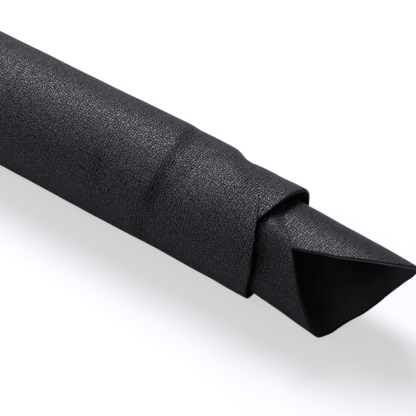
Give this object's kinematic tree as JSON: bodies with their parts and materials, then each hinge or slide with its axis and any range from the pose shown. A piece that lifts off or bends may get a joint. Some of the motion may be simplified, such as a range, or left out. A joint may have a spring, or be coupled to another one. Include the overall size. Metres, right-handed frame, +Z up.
{
  "type": "rolled leather hide",
  "caption": "Panel of black pebble-grained leather hide wound into a loose roll, its inner corner drawn out of the open end as a slanted, slightly flared nose.",
  "frame": {"origin": "bottom centre of the roll's bounding box, on the surface that it lies on", "axes": "+X along the roll towards the drawn-out tip, +Y towards its far side, +Z up"},
  "size_m": [0.3884, 0.0614, 0.0613],
  "materials": {
    "leather": "semi-matt pebbled grain side, napped dull flesh side"
  },
  "bodies": {
    "root": {"hide": "leather"}
  },
  "joints": []
}
